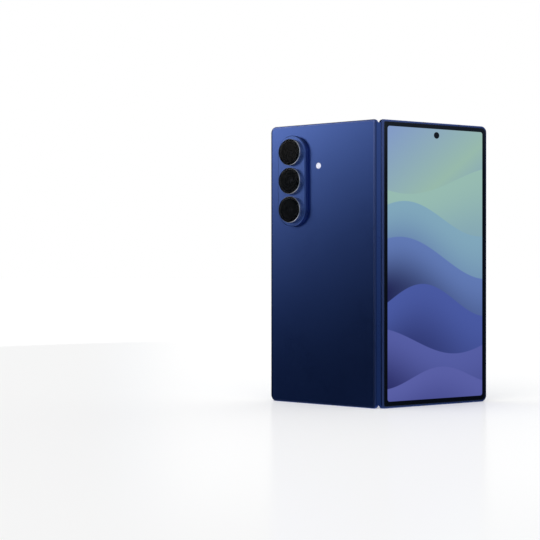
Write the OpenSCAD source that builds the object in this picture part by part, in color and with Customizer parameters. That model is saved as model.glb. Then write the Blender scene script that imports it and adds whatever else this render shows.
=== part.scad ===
// Foldable phone that opens like a book: two halves on a geared double hinge.
// Each half is drawn flat, with s across it from the fold line, d down from
// its inner face and z up its height, and is then turned about its own hinge axis.
// Millimetres. +Z runs up the phone, -Y looks out from the hinge spine.

/* [Whole phone] */
// Height of the phone
height = 158.4; // [150:0.1:170]
// Width of one half, from the fold line to its free edge
half_w = 71.6; // [71:0.1:76]
// Thickness of one half
half_t = 4.2; // [4.2:0.05:4.6]
// How far each half is turned from flat
fold = 32.3; // [0:0.1:88]

/* [Frames] */
// Corner radius at the free edge
free_r = 3.5; // [2.5:0.1:5]
// Corner radius beside the hinge
hinge_r = 0.9; // [0.8:0.1:1.6]
// Rounding of the outer edges
outer_e = 0.5; // [0.3:0.05:0.7]
// Rounding of the edges around the inner display
inner_e = 0.25; // [0.1:0.05:0.3]
// Thickness of the frame's side walls
wall = 1.3; // [1.1:0.05:1.5]
// Thickness of the plate under the inner display
plate_t = 0.6; // [0.4:0.05:0.7]
// Width of the plastic antenna bands in the frame
band_w = 1.9; // [1:0.1:2.5]
// Depth of the antenna bands in the wall
band_depth = 0.6; // [0.3:0.05:0.8]

/* [Inner display] */
// Thickness of the flexible display
display_t = 0.4; // [0.3:0.05:0.5]
// Length of the bending stretch on each side of the fold line
bend_w = 6; // [5.5:0.1:7]
// Height of the soft bezel above the display
bezel_t = 0.2; // [0.1:0.05:0.22]
// Width of the soft bezel
bezel_w = 1.75; // [1.5:0.05:2.5]
// Rim of bare frame left outside the bezel
bezel_rim = 0.35; // [0.3:0.05:0.5]

/* [Outer glass] */
// Thickness of the rear glass
rear_glass_t = 0.6; // [0.5:0.05:0.7]
// Thickness of the glass over the cover display
cover_glass_t = 0.4; // [0.3:0.05:0.5]
// Thickness of the cover display panel
panel_t = 0.3; // [0.2:0.05:0.35]
// Rim of bare frame around the outer glass
glass_rim = 1.1; // [0.8:0.05:1.2]
// Width of the frame's lip left bare along the hinge
lip_rim = 1.4; // [1.1:0.1:2]
// Corner radius of the outer glass beside the hinge
glass_hinge_r = 1; // [0.5:0.1:1.5]

/* [Hinge] */
// Distance of each hinge axis from the fold line
axis_s = 1.55; // [1.5:0.01:1.6]
// Depth of the hinge axes below the inner display
axis_d = 1.3; // [1.25:0.01:1.35]
// Outer radius of the spine around each axis
spine_r = 1.8; // [1.7:0.05:1.8]
// Wall of the spine cover
spine_wall = 0.5; // [0.4:0.05:0.55]
// Running gap between moving pieces
gap = 0.1; // [0.06:0.01:0.12]
// Width of the hinge cavity in each half
cavity_w = 8.5; // [8:0.1:9.5]
// Wall between the hinge cavity and the electronics
cavity_wall = 1; // [0.8:0.1:1.5]
// Radius of the hinge pins
pin_r = 0.28; // [0.24:0.01:0.3]
// Running clearance around the pins
pin_gap = 0.03; // [0.02:0.005:0.04]
// Pitch radius of the hinge gears
gear_r = 0.55; // [0.54:0.005:0.57]
// Teeth on each gear
teeth = 10; // [10]
// Length of the gears
gear_l = 3; // [2:0.1:4]
// Length of the arms' knuckles
knuckle_l = 5; // [3:0.1:6]
// Length of the stacks of friction springs
spring_l = 3; // [2:0.1:4]
// Springs in each stack
springs = 5; // [3:1:6]
// Thickness of a hinge bracket
bracket_t = 1.2; // [0.8:0.1:1.5]
// Number of hinge units along the spine
hinge_units = 3; // [2:1:4]
// Distance of the end units from the phone's ends
unit_inset = 14; // [10:1:20]
// Thickness of the arms' plates
arm_t = 0.8; // [0.6:0.05:0.9]
// Reach of the arms' plates from the fold line
arm_reach = 12; // [11:0.1:14]
// Thickness of the arms' necks
neck_t = 0.5; // [0.4:0.02:0.54]

/* [Rear cameras] */
// Distance of the camera row from the fold line
cam_s = 54.8; // [53:0.1:56]
// Distance of the first camera below the top
cam_drop = 15.6; // [14.5:0.1:20]
// Distance between cameras
cam_pitch = 16.3; // [15.8:0.1:17]
// End radius of the camera island
island_r = 9.6; // [9:0.1:10.5]
// Height of the island above the rear glass
island_h = 2.8; // [2:0.1:3.2]
// Rounding of the island's top edge
island_e = 0.6; // [0.3:0.05:0.8]
// Outer radius of the camera rings
ring_r = 7.5; // [7:0.05:7.7]
// Height of the rings above the island
ring_h = 2.4; // [1.5:0.1:2.6]
// Thickness of the rings' upper rim
ring_rim = 0.4; // [0.4:0.05:0.7]
// Thickness of the camera glasses
lens_t = 0.4; // [0.3:0.05:0.5]
// How far the camera glasses lie below the rings
lens_sink = 0.12; // [0.05:0.01:0.2]
// Radius of the camera barrels
barrel_r = 5.6; // [5:0.1:5.7]
// Width of the camera modules
cam_w = 13; // [12.5:0.1:13.5]
// Distance of the flash from the fold line
flash_s = 38; // [36:0.1:40]
// Radius of the flash window
flash_r = 1.7; // [1.2:0.05:2]

/* [Front cameras] */
// Distance of the front cameras from the fold line
selfie_s = 36.4; // [34:0.1:38]
// Distance of the front cameras below the top
selfie_drop = 7; // [6:0.1:7.5]
// Radius of the holes that the front cameras look through
selfie_r = 1.9; // [1.6:0.05:2]
// Width of the front camera modules
selfie_w = 5.4; // [5:0.1:6]

/* [Keys] */
// Length of the volume rocker
rocker_l = 21; // [18:0.5:24]
// Height of the volume rocker's middle
rocker_z = 103.5; // [101:0.5:106]
// Length of the power key
power_l = 15; // [12:0.5:17]
// Height of the power key's middle
power_z = 80; // [76:0.5:81]
// Width of the keys across the edge
key_w = 1.6; // [1.2:0.05:1.7]
// How far the keys stand out
key_out = 0.35; // [0.2:0.05:0.4]
// Travel of the keys
key_travel = 0.25; // [0.2:0.01:0.3]

/* [Battery and boards] */
// Distance of the batteries from the fold line
cell_s = 13; // [12.5:0.1:15]
// Width of the batteries
cell_w = 53; // [45:0.5:54]
// Height of the rear battery
rear_cell_h = 58; // [50:1:60]
// Height of the cover battery
cover_cell_h = 80; // [70:1:84]
// Distance of the batteries above the bottom
cell_z = 34; // [33:0.5:36]
// Thickness of the rear battery
rear_cell_t = 2.2; // [2:0.05:2.3]
// Thickness of the cover battery
cover_cell_t = 2; // [1.8:0.05:2.2]
// Thickness of the circuit boards
board_t = 0.6; // [0.4:0.05:0.8]
// Height of the posts that carry the boards
post_h = 1; // [0.8:0.05:1.1]
// Radius of the posts
post_r = 1.4; // [1.2:0.05:1.6]
// Height of the shield cans
can_h = 0.8; // [0.6:0.05:0.9]
// Outer radius of the charging coil
coil_r = 23; // [20:0.5:26]
// Inner radius of the charging coil
coil_in = 11; // [9:0.5:14]
// Thickness of the charging coil
coil_t = 0.15; // [0.1:0.01:0.18]

/* [Ports] */
// Distance of the charging port from the fold line
port_s = 37; // [36:0.1:39]
// Width of the charging port's opening
port_w = 8.4; // [8.3:0.05:8.5]
// Height of the charging port's opening
port_h = 2.6; // [2.5:0.02:2.64]
// Wall of the charging port's shell
port_wall = 0.2; // [0.15:0.01:0.22]
// Depth of the charging port
port_l = 7.3; // [6.5:0.1:8]
// Distance of the card tray's middle from the fold line
tray_s = 40; // [38:0.1:42]
// Width of the card tray
tray_w = 15.4; // [14.5:0.1:16]
// Depth of the card tray
tray_l = 26; // [24:0.1:28]
// Thickness of the card tray
tray_t = 1; // [0.8:0.05:1.05]
// Distance of the lower microphone from the fold line
low_mic_s = 45; // [44:0.1:48]
// Distance of the upper microphone from the fold line
top_mic_s = 23; // [21:0.1:24]
// Radius of the speaker and microphone holes
hole_r = 0.45; // [0.3:0.05:0.5]

/* [Screws] */
// Radius of the screws' heads
head_r = 0.85; // [0.7:0.05:1]
// Radius of the screws' shanks
shank_r = 0.45; // [0.35:0.05:0.5]
// Height of the screws' heads
head_h = 0.4; // [0.3:0.05:0.45]

/* [Hidden] */
$fn = 96;
hair = 0.05;
slack = 0.02;
clear = 0.1;
cut = 1;
// heights in a half, from its inner face
plate_d = display_t + plate_t;
rear_d = half_t - rear_glass_t;
panel_d = half_t - cover_glass_t - panel_t;
lip_d = axis_d + spine_r + gap;
top_s = half_w - wall;
end_wall = wall + 0.2;
// V notch in both ends where the halves meet: its width below and at the end
notch_foot = 0.5;
notch_top = 1.6;
bay_s = cavity_w + cavity_wall;
// top and bottom ends of the pieces that lie between the end walls
low_z = end_wall + gap;
high_z = height - low_z;
// the spine
spine_in = spine_r - spine_wall;
floor_d = axis_d + spine_r - spine_wall;
rim_d = axis_d + 1.1;
crown_d = axis_d - gear_r;
cap_l = 1;
// gears: the idlers lie below the line of the hinge axes
tooth = 360 / teeth;
idler_drop = sqrt(4 * gear_r * gear_r - pow(axis_s - gear_r, 2));
idler_tilt = atan2(idler_drop, axis_s - gear_r);
tip_r = gear_r + 0.09;
root_r = gear_r - 0.11;
knuckle_r = gear_r + 0.11;
cover_phase = 0;
right_phase = mesh(cover_phase + fold, 180 + idler_tilt);
left_phase = mesh(right_phase, 180);
rear_phase = 180 - mesh(left_phase, 180 - idler_tilt) - fold;
// a hinge unit, from its lower end
gear_z = bracket_t + gap;
knuckle_z = gear_z + gear_l;
spring_z = knuckle_z + knuckle_l + gap;
unit_l = spring_z + spring_l + gap + bracket_t;
unit_gap = (height - 2 * unit_inset - unit_l) / (hinge_units - 1);
units = [for (i = [0 : hinge_units - 1]) unit_inset + i * unit_gap];
arm_d = lip_d - gap - arm_t;
arm_h = knuckle_l + 4;
arm_z = knuckle_z - 0.5;
arm_lap = 1.5;
arm_thread = 0.4;
neck_turn = -33;
neck_end = 2.5;
neck_s = axis_s + 1.9;
pad_d = arm_d + arm_t;
pad_rim = 0.6;
arm_screws = [for (z = units) for (k = [0.25, 0.75]) z + arm_z + k * arm_h];
arm_screw_s = (bay_s + arm_reach) / 2;
// cameras
cam_z = [for (i = [0 : 2]) height - cam_drop - i * cam_pitch];
island_d = half_t + island_h;
ring_top = island_d + ring_h;
lens_d = ring_top - lens_sink - lens_t;
cam_bore = barrel_r + 0.4;
barrel_d = lens_d - 0.3;
island_foot = island_r - 1;
flash_z = (cam_z[0] + cam_z[1]) / 2;
selfie_z = height - selfie_drop;
// keys
key_d = 2.1;
flange_t = 0.5;
flange_lap = 0.15;
flange_l = 0.6;
flange_s = top_s - 0.3 - flange_t;
switch_s = flange_s - key_travel - slack;
switch_t = 0.4;
switch_d = rear_d - 0.3;
dome_t = 0.3;
dome_r = 0.8;
dome_inset = 3;
// boards
board_d = plate_d + post_h;
post_inset = 2;
board_s = 13.5;
board_w = 28;
board_z = 98;
board_h = 48;
sub_z = cell_z + cover_cell_h + 6;
sub_h = 20;
sub_w = 50;
usb_board_z = port_l + 1;
usb_board_h = 16;
usb_board_w = 22;
can_inset = 4.2;
can_gap = 1;
can_l = (board_h - 4 * can_gap) / 3;
can_spans = [[board_s + can_inset, board_s + board_w - can_inset],
    [board_s + can_gap, board_s + board_w - can_gap],
    [board_s + can_inset, flash_s - flash_r - can_gap]];
sub_can_w = (sub_w - 2 * can_inset - can_gap) / 2;
speaker_s = cell_s;
speaker_w = 12;
speaker_pitch = 2;
speaker_h = 11;
speaker_z = end_wall + hair;
motor_s = 53;
motor_w = 12;
motor_h = 6;
motor_z = 12;
mic_w = 2.4;
mic_t = 2.2;
rear_mics = [[low_mic_s, 0], [top_mic_s, 1]];
band_s = [28, 52];
band_z = [0.248 * height, 0.752 * height];
magnet_z = [18, 34, 50];
magnet_h = 9;
magnet_w = 1.4;
magnet_t = 2;
// charging port and card tray
port_d = half_t / 2;
port_sink = 0.2;
tongue_t = 0.7;
tongue_w = port_w - 1.8;
tray_d = 2.2;
tray_cap_w = tray_w + 1;
tray_cap_h = 1.5;
reader_wall = 0.3;
card_w = 12.5;
card_h = 9;
card_rim = 2;
// pin hole in the end of the tray
eject_s = 6;
eject_r = 0.35;
eject_l = 1;
tray_floor = 0.2;
flex_d = 1.2;
flex_t = 0.12;
flex_w = 12;
flex_clear = 0.3;
flex_s = cell_s - gap;
flex_z = [for (i = [0 : hinge_units - 2]) (units[i] + units[i + 1] + unit_l) / 2];
steps = 16;
bezel_s = 0.4 * bend_w;
// the row's origin lies under the middle of the box around the opened phone
far_y = place_y(half_w - bezel_rim, -bezel_t);
ring_y = cam_y(ring_top);
near_y = place_y(hair + outer_e, half_t - outer_e) - outer_e;
mid_y = (far_y + min(near_y, ring_y)) / 2;

// ---------------------------------------------------------------- placing

// turn of a gear that meshes with one turned by phase and lies from it towards way
function mesh(phase, way) = 2 * way + 180 + tooth / 2 - phase;
// where a point of the cover half lies across the phone once the half is turned
function place_y(s, d) = -axis_d + (s - axis_s) * sin(fold) + (axis_d - d) * cos(fold);
// lowest y of a round boss of the rear half whose face is at depth d
function cam_y(d) = place_y(cam_s - ring_r, d);

// puts a half that is drawn flat on the +X side where the cover half is
module cover_half() {
    translate([axis_s, -axis_d - mid_y, 0])
        rotate([0, 0, fold])
            translate([-axis_s, axis_d, 0])
                children();
}
// puts it where the rear half is, as its mirror image
module rear_half() {
    mirror([1, 0, 0])
        cover_half()
            children();
}
// puts what is drawn around the fold line at the spine
module at_spine() {
    translate([0, -mid_y, 0])
        children();
}

// ---------------------------------------------------------------- shapes

// block between two distances from the fold line, two depths and two heights
module block(s, d, z) {
    translate([s[0], -d[1], z[0]])
        cube([s[1] - s[0], d[1] - d[0], z[1] - z[0]]);
}
// round bar that runs through the thickness
module bar(s, z, d, r) {
    translate([s, -d[0], z])
        rotate([90, 0, 0])
            cylinder(r = r, h = d[1] - d[0]);
}
// outline with one corner radius towards the hinge and one at the free edge
module outline(s, z, rh, rf) {
    translate([s[0] + rh, z[0]])
        square([s[1] - s[0] - rh - rf, z[1] - z[0]]);
    translate([s[0], z[0] + rh])
        square([rh, z[1] - z[0] - 2 * rh]);
    translate([s[1] - rf, z[0] + rf])
        square([rf, z[1] - z[0] - 2 * rf]);
    for (k = [z[0] + rh, z[1] - rh])
        translate([s[0] + rh, k])
            circle(r = rh);
    for (k = [z[0] + rf, z[1] - rf])
        translate([s[1] - rf, k])
            circle(r = rf);
}
// plate with that outline between two depths
module plate(s, z, d, rh, rf) {
    translate([0, -d[0], 0])
        rotate([90, 0, 0])
            linear_extrude(d[1] - d[0])
                outline(s, z, rh, rf);
}
// stadium that stands up the phone, between two depths
module stadium(s, z, d, r) {
    for (k = z)
        bar(s, k, d, r);
    block([s - r, s + r], d, z);
}
// the outer glass and what lies under it, inset all round
module glass_plate(d, inset) {
    plate([lip_rim + inset, half_w - glass_rim - inset], [glass_rim + inset, height - glass_rim - inset],
        d, glass_hinge_r, free_r - glass_rim);
}
// section through the rim of a half: r inwards from the edge, both edges rounded
module rim_section(r) {
    square([r - outer_e, half_t]);
    translate([0, inner_e])
        square([r, half_t - inner_e - outer_e]);
    square([r - inner_e, half_t - outer_e]);
    translate([r - inner_e, inner_e])
        circle(r = inner_e);
    translate([r - outer_e, half_t - outer_e])
        circle(r = outer_e);
}
module rim_corner(s, z, r) {
    translate([s, 0, z])
        rotate([90, 0, 0])
            rotate_extrude()
                rim_section(r);
}
// straight stretch of rim, turned about Y so that its edge faces outwards
module rim_edge(s, z, turn, r, l) {
    translate([s, 0, z])
        rotate([0, turn, 0])
            mirror([0, 1, 0])
                linear_extrude(l)
                    rim_section(r);
}
// the full body of a half, with rounded edges and corners
module half_body() {
    s0 = hair;
    rim_corner(s0 + hinge_r, hinge_r, hinge_r);
    rim_corner(s0 + hinge_r, height - hinge_r, hinge_r);
    rim_corner(half_w - free_r, free_r, free_r);
    rim_corner(half_w - free_r, height - free_r, free_r);
    rim_edge(s0 + hinge_r, height - hinge_r, 180, hinge_r, height - 2 * hinge_r);
    rim_edge(half_w - free_r, free_r, 0, free_r, height - 2 * free_r);
    rim_edge(half_w - free_r, height - free_r, -90, free_r, half_w - free_r - s0 - hinge_r);
    rim_edge(s0 + hinge_r, free_r, 90, free_r, half_w - free_r - s0 - hinge_r);
    block([s0 + hinge_r, half_w - free_r], [0, half_t], [free_r, height - free_r]);
}
// what the frame of a half leaves open for the display, the hinge and the glass
module half_hollow(glass_d) {
    plate([-cut, top_s], [end_wall, height - end_wall], [-cut, display_t], hair, free_r - wall);
    block([-cut, cavity_w], [-cut, lip_d], [end_wall, height - end_wall]);
    plate([bay_s, top_s], [end_wall, height - end_wall], [plate_d, glass_d + hair], 1, free_r - wall);
    glass_plate([glass_d, half_t + cut], 0);
    difference() {
        block([-cut, axis_s], [-cut, axis_d], [-cut, height + cut]);
        translate([axis_s, -axis_d, -2 * cut])
            cylinder(r = axis_s - hair, h = height + 4 * cut);
    }
    notch();
    translate([0, 0, height])
        mirror([0, 0, 1])
            notch();
    for (z = units)
        arm_pocket(z);
    for (z = arm_screws)
        bar(arm_screw_s, z, [pad_d - cut, pad_d + arm_thread], shank_r + hair);
    for (z = flex_z)
        block([cavity_w - cut, bay_s + cut], [flex_d - flex_clear, flex_d + flex_t + flex_clear],
            [z - flex_w / 2 - flex_clear, z + flex_w / 2 + flex_clear]);
}
// half of the V that both ends show between the halves
module notch() {
    translate([0, cut, 0])
        rotate([90, 0, 0])
            linear_extrude(lip_d + cut)
                polygon([[-cut, -cut], [-cut, end_wall + hair], [notch_foot, end_wall + hair],
                    [notch_top, 0], [notch_top, -cut]]);
}
// room for the plate of an arm
module arm_pocket(z) {
    block([cavity_w - cut, arm_reach + gap], [display_t, pad_d],
        [z + arm_z - gap, z + arm_z + arm_h + gap]);
}
// pads beyond the hinge cavity that carry the arms
module arm_pads(glass_d) {
    difference() {
        for (z = units)
            block([cavity_w, arm_reach + gap + pad_rim], [plate_d - hair, glass_d],
                [z + arm_z - gap - pad_rim, z + arm_z + arm_h + gap + pad_rim]);
        for (z = units)
            arm_pocket(z);
        for (z = arm_screws)
            bar(arm_screw_s, z, [pad_d - cut, pad_d + arm_thread], shank_r + hair);
    }
}
// plastic bands let into the frame's edges
module band_boxes() {
    for (s = band_s)
        for (z = [[-cut, band_depth], [height - band_depth, height + cut]])
            block([s - band_w / 2, s + band_w / 2], [-cut, half_t + cut], z);
    for (z = band_z)
        block([half_w - band_depth, half_w + cut], [-cut, half_t + cut], [z - band_w / 2, z + band_w / 2]);
}
module antenna_bands() {
    intersection() {
        half_body();
        band_boxes();
    }
}
// where the posts at the four corners of a board stand
function corners(s, z) =
    [for (i = [s[0] + post_inset, s[1] - post_inset])
        for (k = [z[0] + post_inset, z[1] - post_inset]) [i, k]];
// threaded posts that stand on the plate and carry a board
module posts(points) {
    for (p = points)
        difference() {
            bar(p[0], p[1], [plate_d - clear, board_d], post_r);
            bar(p[0], p[1], [plate_d + hair, board_d + cut], shank_r + hair);
        }
}
module board(s, z, points) {
    difference() {
        block(s, [board_d, board_d + board_t], z);
        for (p = points)
            bar(p[0], p[1], [board_d - cut, board_d + board_t + cut], shank_r + hair);
    }
}
// a screw whose head lies at depth d and whose shank points along dir
module screw(s, z, d, dir, l) {
    if (dir > 0) {
        bar(s, z, [d, d + head_h], head_r);
        bar(s, z, [d + head_h, d + head_h + l], shank_r);
    } else {
        bar(s, z, [d - head_h, d], head_r);
        bar(s, z, [d - head_h - l, d - head_h], shank_r);
    }
}
module board_screws(points) {
    for (p = points)
        screw(p[0], p[1], board_d + board_t + head_h, -1, board_t + post_h - 2 * clear);
}
module arm_screw_set() {
    for (z = arm_screws)
        screw(arm_screw_s, z, arm_d - head_h, 1, arm_t + arm_thread - clear);
}
// a point of a sheet that lies at depth d under the display, s from the fold line:
// it turns with the half, by less and less towards the fold line
function ease(t) = t <= 0 ? 0 : t >= 1 ? 1 : t * t * (3 - 2 * t);
function bend(s, d, turn) =
    let (a = turn * (1 - ease(1 - s / bend_w)), u = s - axis_s, v = axis_d - d)
        [axis_s + u * cos(a) - v * sin(a), -axis_d + u * sin(a) + v * cos(a)];
function flip(p) = [-p[0], p[1]];
module bent_sheet(d, reach, z) {
    spots = concat([for (i = [0 : steps]) i * bend_w / steps], reach > bend_w ? [reach] : []);
    upper = [for (s = spots) bend(s, d[0], fold)];
    lower = [for (s = spots) bend(s, d[1], fold)];
    n = len(spots) - 1;
    ring = concat([for (i = [n : -1 : 1]) flip(upper[i])], upper,
        [for (i = [n : -1 : 1]) lower[i]], [for (p = lower) flip(p)]);
    translate([0, 0, z[0]])
        linear_extrude(z[1] - z[0])
            polygon(ring);
}

// ---------------------------------------------------------------- hinge shapes

// section of the inside of the spine, up to depth d
module spine_bed(d, inset) {
    intersection() {
        union() {
            translate([-axis_s, -floor_d])
                square([2 * axis_s, floor_d]);
            for (k = [-1, 1])
                translate([k * axis_s, -axis_d])
                    circle(r = spine_in - inset);
        }
        translate([-2 * spine_r, -floor_d])
            square([4 * spine_r, floor_d - d]);
    }
}
module at_axes() {
    for (k = [-1, 1])
        translate([k * axis_s, -axis_d])
            children();
}
module at_idlers() {
    for (k = [-1, 1])
        translate([k * gear_r, -axis_d - idler_drop])
            children();
}
// a gear blank with straight-sided teeth, one tooth centred at angle phase
module gear_section(phase) {
    flank = [[0.27, root_r], [0.2, gear_r], [0.1, tip_r]];
    shape = concat([for (p = flank) [-p[0], p[1]]], [for (i = [2 : -1 : 0]) flank[i]]);
    difference() {
        polygon([for (i = [0 : teeth - 1]) for (p = shape)
            let (a = phase + (i + p[0]) * tooth) [p[1] * cos(a), p[1] * sin(a)]]);
        circle(r = pin_r + pin_gap);
    }
}
// arms of one half: gear, knuckle, neck and plate in one piece for each unit
module arms(phase) {
    for (z = units) {
        translate([axis_s, -axis_d, z + gear_z])
            linear_extrude(gear_l)
                gear_section(phase);
        translate([0, 0, z + knuckle_z])
            linear_extrude(knuckle_l)
                difference() {
                    translate([axis_s, -axis_d]) {
                        circle(r = knuckle_r);
                        rotate(neck_turn)
                            square([neck_end, neck_t]);
                    }
                    translate([axis_s, -axis_d])
                        circle(r = pin_r + pin_gap);
                }
        difference() {
            union() {
                block([neck_s, cavity_w], [arm_d, arm_d + arm_t],
                    [z + knuckle_z, z + knuckle_z + knuckle_l]);
                block([cavity_w - arm_lap, arm_reach], [arm_d, arm_d + arm_t],
                    [z + arm_z, z + arm_z + arm_h]);
            }
            for (k = arm_screws)
                bar(arm_screw_s, k, [arm_d - cut, arm_d + arm_t + cut], shank_r + hair);
        }
    }
}
module idlers(side, phase) {
    for (z = units)
        translate([side * gear_r, -axis_d - idler_drop, z + gear_z])
            linear_extrude(gear_l)
                gear_section(phase);
}

// ---------------------------------------------------------------- spine

module spine_cover() {
    color("midnightblue")
        at_spine()
            translate([0, 0, low_z])
                linear_extrude(high_z - low_z)
                    difference() {
                        intersection() {
                            union() {
                                translate([-axis_s, -axis_d - spine_r])
                                    square([2 * axis_s, spine_r]);
                                at_axes()
                                    circle(r = spine_r);
                            }
                            translate([-2 * spine_r, -2 * spine_r - rim_d])
                                square([4 * spine_r, 2 * spine_r]);
                        }
                        translate([-axis_s, -floor_d])
                            square([2 * axis_s, floor_d]);
                        at_axes()
                            circle(r = spine_in);
                    }
}
module spine_end_caps() {
    color("black")
        at_spine()
            for (z = [low_z, high_z - cap_l])
                translate([0, 0, z])
                    linear_extrude(cap_l)
                        spine_bed(crown_d, slack);
}
module hinge_brackets() {
    color("silver")
        at_spine()
            for (z = units) {
                for (k = [0, unit_l - bracket_t])
                    translate([0, 0, z + k])
                        linear_extrude(bracket_t)
                            difference() {
                                spine_bed(crown_d, slack);
                                at_axes()
                                    circle(r = pin_r);
                                if (k == 0)
                                    at_idlers()
                                        circle(r = pin_r);
                            }
                translate([0, 0, z + knuckle_z + gap])
                    linear_extrude(bracket_t)
                        difference() {
                            translate([-axis_s + knuckle_r + gap, -floor_d])
                                square([2 * (axis_s - knuckle_r - gap), floor_d - axis_d]);
                            at_idlers()
                                circle(r = pin_r);
                        }
            }
}
module hinge_pins() {
    color("gainsboro")
        at_spine()
            for (z = units) {
                translate([0, 0, z])
                    linear_extrude(unit_l)
                        at_axes()
                            circle(r = pin_r);
                translate([0, 0, z])
                    linear_extrude(knuckle_z + gap + bracket_t)
                        at_idlers()
                            circle(r = pin_r);
            }
}
module friction_springs() {
    pitch = spring_l / springs;
    color("gold")
        at_spine()
            for (z = units)
                for (i = [0 : springs - 1])
                    translate([0, 0, z + spring_z + i * pitch])
                        linear_extrude(pitch - hair)
                            at_axes()
                                difference() {
                                    circle(r = knuckle_r - hair);
                                    circle(r = pin_r + pin_gap);
                                }
}
module hinge_flex() {
    color("darkgoldenrod")
        at_spine()
            for (z = flex_z)
                bent_sheet([flex_d, flex_d + flex_t], flex_s, [z - flex_w / 2, z + flex_w / 2]);
}
module inner_display_fold() {
    color("slateblue")
        at_spine()
            bent_sheet([0, display_t], bend_w, [low_z, high_z]);
}
module idler_gears_left() {
    color("silver")
        at_spine()
            idlers(-1, left_phase);
}
module idler_gears_right() {
    color("silver")
        at_spine()
            idlers(1, right_phase);
}

// ---------------------------------------------------------------- rear half

rear_posts = corners([board_s, board_s + board_w], [board_z, board_z + board_h]);
usb_posts = [for (k = [-1, 1])
    [port_s + k * (usb_board_w / 2 - post_inset), usb_board_z + usb_board_h - post_inset]];
module key_slots() {
    for (k = [[rocker_z, rocker_l], [power_z, power_l]])
        block([top_s - cut, half_w + cut], [key_d - key_w / 2 - gap, key_d + key_w / 2 + gap],
            [k[0] - k[1] / 2 - gap, k[0] + k[1] / 2 + gap]);
}
module rounded_port(w, h, z) {
    translate([port_s, -port_d, z[0]])
        linear_extrude(z[1] - z[0]) {
            square([w - h, h], center = true);
            for (k = [-1, 1])
                translate([k * (w - h) / 2, 0])
                    circle(d = h);
        }
}
module speaker_holes(s, z, count) {
    for (i = [0 : count - 1])
        translate([s + i * speaker_pitch, -half_t / 2, z])
            cylinder(r = hole_r, h = end_wall + 2 * cut);
}
module rear_frame() {
    color("navy")
        rear_half() {
            difference() {
                union() {
                    difference() {
                        half_body();
                        half_hollow(rear_d);
                    }
                    arm_pads(rear_d);
                    posts(concat(rear_posts, usb_posts));
                }
                band_boxes();
                key_slots();
                rounded_port(port_w + 2 * port_wall + 2 * hair, port_h + 2 * port_wall + 2 * hair,
                    [-cut, usb_board_z]);
                speaker_holes(speaker_s + speaker_pitch, -cut, 5);
                for (m = rear_mics)
                    translate([m[0], -half_t / 2, m[1] > 0 ? height - end_wall - cut : -cut])
                        cylinder(r = hole_r, h = end_wall + 2 * cut);
                bar(selfie_s, selfie_z, [-cut, plate_d + cut], selfie_r + hair);
            }
        }
}
module rear_cover() {
    color("midnightblue")
        rear_half()
            difference() {
                glass_plate([rear_d, half_t], hair);
                stadium(cam_s, [cam_z[2], cam_z[0]], [rear_d - cut, half_t + cut], island_foot);
                bar(flash_s, flash_z, [rear_d - cut, half_t + cut], flash_r + hair);
            }
}
module camera_island() {
    color("navy")
        rear_half()
            difference() {
                union() {
                    stadium(cam_s, [cam_z[2], cam_z[0]], [half_t, island_d - island_e], island_r);
                    stadium(cam_s, [cam_z[2], cam_z[0]], [half_t, island_d], island_r - island_e);
                    for (z = [cam_z[2], cam_z[0]])
                        translate([cam_s, -island_d + island_e, z])
                            rotate([90, 0, 0])
                                rotate_extrude()
                                    translate([island_r - island_e, 0])
                                        circle(r = island_e);
                    for (k = [-1, 1])
                        translate([cam_s + k * (island_r - island_e), -island_d + island_e, cam_z[2]])
                            cylinder(r = island_e, h = cam_z[0] - cam_z[2]);
                    stadium(cam_s, [cam_z[2], cam_z[0]], [rear_d, half_t], island_foot - hair);
                }
                for (z = cam_z)
                    bar(cam_s, z, [rear_d - cut, island_d + cut], cam_bore);
            }
}
module camera_rings() {
    color("dimgray")
        rear_half()
            for (z = cam_z)
                difference() {
                    bar(cam_s, z, [island_d, ring_top], ring_r);
                    bar(cam_s, z, [island_d - cut, ring_top + cut], cam_bore);
                    bar(cam_s, z, [lens_d, ring_top + cut], ring_r - ring_rim);
                }
}
module camera_lenses() {
    color("black")
        rear_half()
            for (z = cam_z)
                bar(cam_s, z, [lens_d, lens_d + lens_t], ring_r - ring_rim - hair);
}
module camera_modules() {
    color("darkslategray")
        rear_half()
            for (z = cam_z) {
                block([cam_s - cam_w / 2, cam_s + cam_w / 2], [plate_d, rear_d - clear],
                    [z - cam_w / 2, z + cam_w / 2]);
                bar(cam_s, z, [rear_d - clear, barrel_d], barrel_r);
            }
}
module flash_lens() {
    color("ivory")
        rear_half()
            bar(flash_s, flash_z, [board_d + board_t, half_t], flash_r);
}
module rear_battery() {
    color("dimgray")
        rear_half()
            block([cell_s, cell_s + cell_w], [plate_d, plate_d + rear_cell_t],
                [cell_z, cell_z + rear_cell_h]);
}
module main_board() {
    color("darkgreen")
        rear_half()
            board([board_s, board_s + board_w], [board_z, board_z + board_h], rear_posts);
}
module shield_cans() {
    d = [board_d + board_t, board_d + board_t + can_h];
    color("silver")
        rear_half()
            for (i = [0 : 2]) {
                z = board_z + can_gap + i * (can_l + can_gap);
                block(can_spans[i], d, [z, z + can_l]);
            }
}
module wireless_coil() {
    d = plate_d + rear_cell_t;
    color("peru")
        rear_half()
            difference() {
                bar(cell_s + cell_w / 2, cell_z + rear_cell_h / 2, [d, d + coil_t], coil_r);
                bar(cell_s + cell_w / 2, cell_z + rear_cell_h / 2, [d - cut, d + coil_t + cut], coil_in);
            }
}
module bottom_speaker() {
    color("dimgray")
        rear_half()
            block([speaker_s, speaker_s + speaker_w], [plate_d, rear_d - clear],
                [speaker_z, speaker_z + speaker_h]);
}
module usb_board() {
    color("darkgreen")
        rear_half()
            board([port_s - usb_board_w / 2, port_s + usb_board_w / 2],
                [usb_board_z, usb_board_z + usb_board_h], usb_posts);
}
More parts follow.
